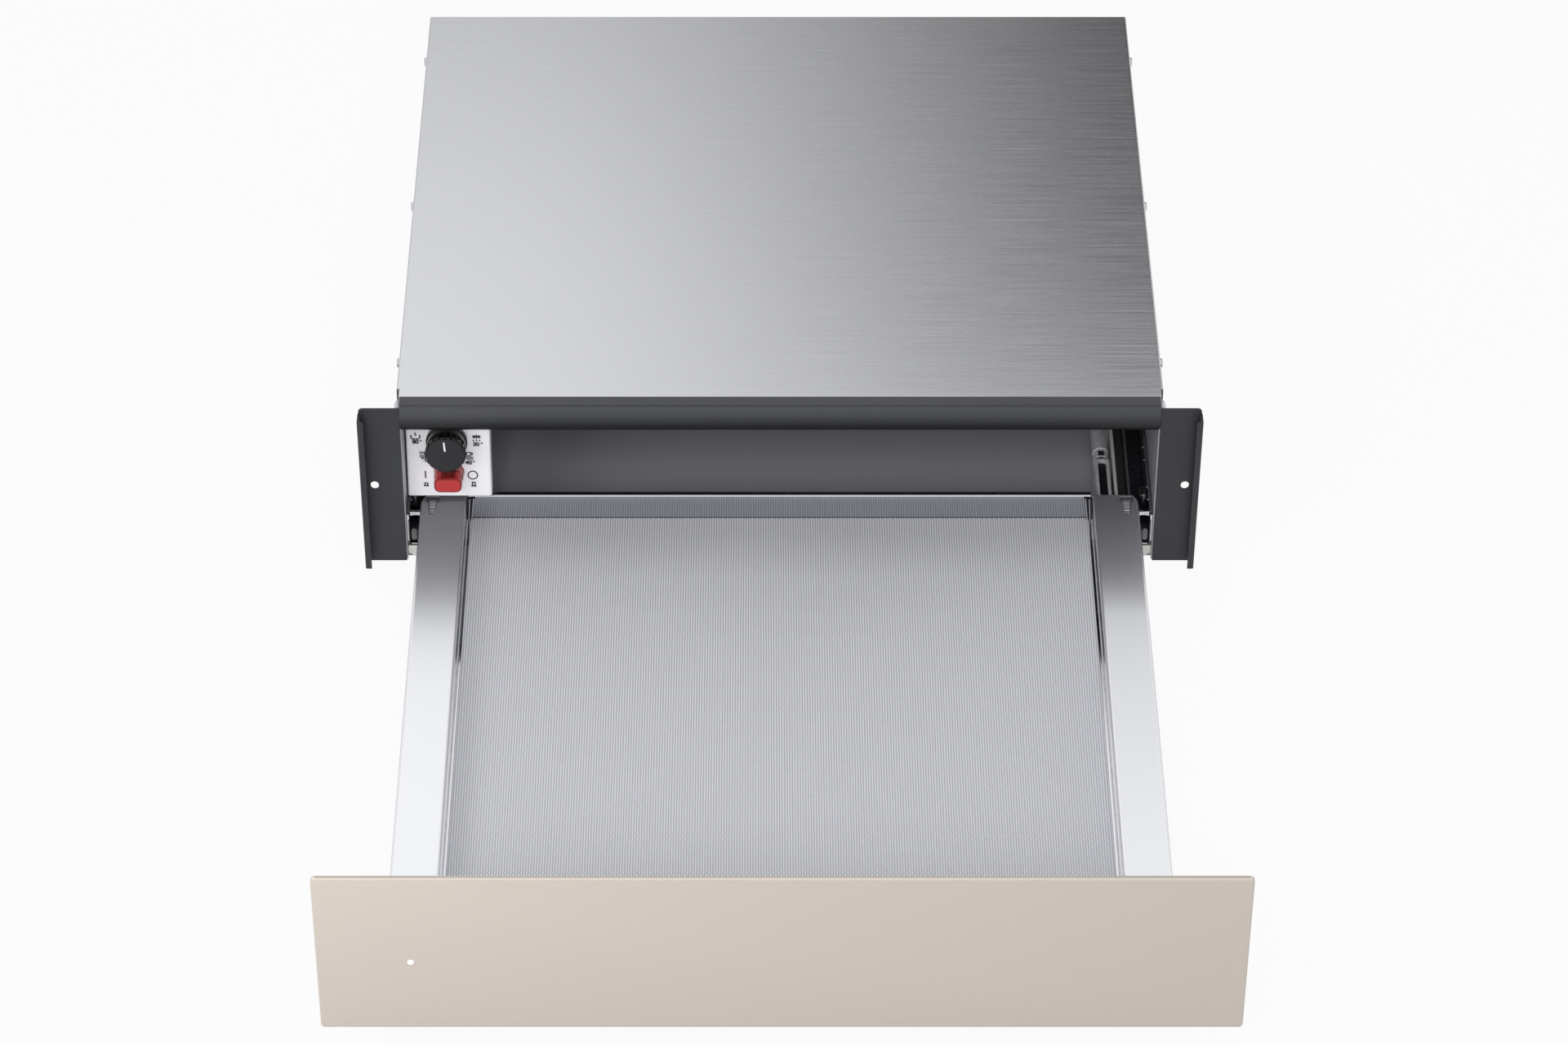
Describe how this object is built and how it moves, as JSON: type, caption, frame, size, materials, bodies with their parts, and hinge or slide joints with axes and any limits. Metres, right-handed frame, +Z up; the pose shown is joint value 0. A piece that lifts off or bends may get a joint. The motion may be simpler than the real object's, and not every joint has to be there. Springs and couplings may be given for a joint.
{
  "type": "built-in warming drawer",
  "caption": "Low built-in warming drawer for a kitchen niche, pulled open on telescopic runners, with a glass front, a polished tray with a mat and a small control console.",
  "frame": {"origin": "on the underside of the cabinet floor, on the centre plane, where the plane of the side flanges' rear faces meets it", "axes": "+X to the right seen from the front, +Y into the niche and along the drawer's closing travel, +Z up"},
  "size_m": [0.595, 0.9902, 0.14],
  "materials": {
    "brushed_steel": "brushed",
    "polished_steel": "mirror polished steel",
    "graphite_paint": "fine matt graphite paint",
    "zinc_steel": "zinc plated, satin",
    "black_paint": "satin black",
    "white_panel": "pale silver-white, satin",
    "black_plastic": "satin black",
    "grey_plastic": "matt grey",
    "red_plastic": "translucent red",
    "black_rubber": "matt",
    "grey_silicone": "perforated, matt",
    "beige_glass": "back-painted warm beige, satin",
    "clear_lens": "clear light guide",
    "chrome": "bright",
    "aluminium": "satin",
    "cream_plastic": "matt"
  },
  "bodies": {
    "cabinet": {"top_sheet": "brushed_steel", "base_pan": "graphite_paint", "front_rail": "graphite_paint", "flange_left": "graphite_paint", "flange_right": "graphite_paint", "air_duct": "graphite_paint", "heating_ring": "graphite_paint", "rear_panel": "zinc_steel", "side_panel_left": "zinc_steel", "side_panel_right": "zinc_steel", "control_box": "zinc_steel", "thermostat": "zinc_steel", "fan_bracket": "zinc_steel", "fixed_rail_left": "zinc_steel", "fixed_rail_right": "zinc_steel", "side_screw_left": "chrome", "side_screw_right": "chrome", "guide_stud_upper_left": "chrome", "guide_stud_upper_right": "chrome", "guide_stud_lower_left": "chrome", "guide_stud_lower_right": "chrome", "control_panel": "white_panel", "cord_gland": "black_plastic", "latch_housing": "black_plastic", "thermal_cutout": "aluminium", "button_sleeve": "red_plastic", "power_switch": "cream_plastic", "terminal_block": "cream_plastic", "fan_motor": "black_paint", "runner_bracket_left": "black_paint", "runner_bracket_right": "black_paint", "damper_left": "grey_plastic", "damper_right": "grey_plastic", "catch_track_left": "grey_plastic", "catch_track_right": "grey_plastic"},
    "drawer": {"drawer_tray": "polished_steel", "anti_slip_mat": "grey_silicone", "glass_front": "beige_glass", "front_carrier": "zinc_steel", "indicator_lens": "clear_lens", "latch_striker": "zinc_steel", "side_profile_left": "polished_steel", "side_profile_right": "polished_steel", "seal_strip_left": "black_rubber", "seal_strip_right": "black_rubber", "rear_clip_left": "grey_plastic", "rear_clip_right": "grey_plastic", "front_brace_left": "zinc_steel", "front_brace_right": "zinc_steel", "drawer_rail_left": "zinc_steel", "drawer_rail_right": "zinc_steel"},
    "middle_runner_left": {"middle_rail_left": "zinc_steel"},
    "middle_runner_right": {"middle_rail_right": "zinc_steel"},
    "knob": {"temperature_knob": "black_plastic", "knob_shaft": "aluminium"},
    "button": {"power_button": "red_plastic"},
    "fan": {"fan_wheel": "aluminium", "fan_shaft": "chrome"},
    "plunger": {"latch_plunger": "grey_plastic"}
  },
  "joints": [
    {"name": "drawer_slide", "type": "slide", "parent": "cabinet", "child": "drawer", "axis": [0, 1, 0], "range_m": [0, 0.462]},
    {"name": "middle_runner_left_slide", "type": "slide", "parent": "cabinet", "child": "middle_runner_left", "axis": [0, 1, 0], "range_m": [0, 0.2315]},
    {"name": "middle_runner_right_slide", "type": "slide", "parent": "cabinet", "child": "middle_runner_right", "axis": [0, 1, 0], "range_m": [0, 0.2315]},
    {"name": "knob_turn", "type": "hinge", "parent": "cabinet", "child": "knob", "pos_m": [-0.2371, 0.02117, 0.09312], "axis": [0, 0.9962, -0.0872], "range_deg": [0, 270]},
    {"name": "button_press", "type": "slide", "parent": "cabinet", "child": "button", "axis": [0, 0.9962, -0.0872], "range_m": [0, 0.0035], "stiffness_N_per_m": 600},
    {"name": "fan_spin", "type": "hinge", "parent": "cabinet", "child": "fan", "pos_m": [0, 0.47, 0.09125], "axis": [0, 1, 0], "continuous": true},
    {"name": "plunger_press", "type": "slide", "parent": "cabinet", "child": "plunger", "axis": [0, 1, 0], "range_m": [0, 0.004], "stiffness_N_per_m": 800}
  ],
  "couplings": [
    {"joint": "middle_runner_left_slide", "follows": "drawer_slide", "ratio": 0.5},
    {"joint": "middle_runner_right_slide", "follows": "drawer_slide", "ratio": 0.5}
  ]
}
